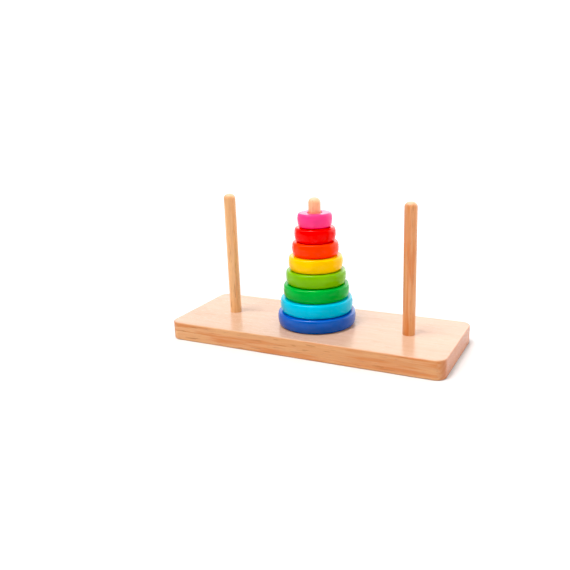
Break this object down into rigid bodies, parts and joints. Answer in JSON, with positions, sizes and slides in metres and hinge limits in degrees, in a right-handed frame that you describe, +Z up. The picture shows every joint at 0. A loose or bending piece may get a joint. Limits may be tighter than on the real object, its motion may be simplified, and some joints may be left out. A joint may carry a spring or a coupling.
{
  "type": "tower of hanoi puzzle",
  "caption": "Rectangular wood board with a row of upright dowel pegs and a tapering stack of painted rings that lift off the middle peg.",
  "frame": {"origin": "centre of the board's underside, on the surface that the puzzle stands on", "axes": "+X along the row of pegs towards the right peg, +Y across the board towards its back, +Z up along the pegs"},
  "size_m": [0.24, 0.09, 0.122],
  "materials": {
    "board_wood": "clear satin lacquer over fine straight grain",
    "peg_wood": "clear satin lacquer over turned dowel grain",
    "paint_dark_blue": "gloss paint on turned wood",
    "paint_light_blue": "gloss paint on turned wood",
    "paint_green": "gloss paint on turned wood",
    "paint_light_green": "gloss paint on turned wood",
    "paint_yellow": "gloss paint on turned wood",
    "paint_orange": "gloss paint on turned wood",
    "paint_red": "gloss paint on turned wood",
    "paint_pink": "gloss paint on turned wood"
  },
  "bodies": {
    "base": {"board": "board_wood", "peg_left": "peg_wood", "peg_centre": "peg_wood", "peg_right": "peg_wood"},
    "ring_dark_blue": {"ring_dark_blue": "paint_dark_blue"},
    "ring_light_blue": {"ring_light_blue": "paint_light_blue"},
    "ring_green": {"ring_green": "paint_green"},
    "ring_light_green": {"ring_light_green": "paint_light_green"},
    "ring_yellow": {"ring_yellow": "paint_yellow"},
    "ring_orange": {"ring_orange": "paint_orange"},
    "ring_red": {"ring_red": "paint_red"},
    "ring_pink": {"ring_pink": "paint_pink"}
  },
  "joints": [
    {"name": "lift_dark_blue", "type": "slide", "parent": "base", "child": "ring_dark_blue", "axis": [0, 0, 1], "range_m": [0, 0.111]},
    {"name": "lift_light_blue", "type": "slide", "parent": "ring_dark_blue", "child": "ring_light_blue", "axis": [0, 0, 1], "range_m": [0, 0.09925]},
    {"name": "lift_green", "type": "slide", "parent": "ring_light_blue", "child": "ring_green", "axis": [0, 0, 1], "range_m": [0, 0.0875]},
    {"name": "lift_light_green", "type": "slide", "parent": "ring_green", "child": "ring_light_green", "axis": [0, 0, 1], "range_m": [0, 0.07575]},
    {"name": "lift_yellow", "type": "slide", "parent": "ring_light_green", "child": "ring_yellow", "axis": [0, 0, 1], "range_m": [0, 0.064]},
    {"name": "lift_orange", "type": "slide", "parent": "ring_yellow", "child": "ring_orange", "axis": [0, 0, 1], "range_m": [0, 0.05225]},
    {"name": "lift_red", "type": "slide", "parent": "ring_orange", "child": "ring_red", "axis": [0, 0, 1], "range_m": [0, 0.0405]},
    {"name": "lift_pink", "type": "slide", "parent": "ring_red", "child": "ring_pink", "axis": [0, 0, 1], "range_m": [0, 0.02875]}
  ]
}
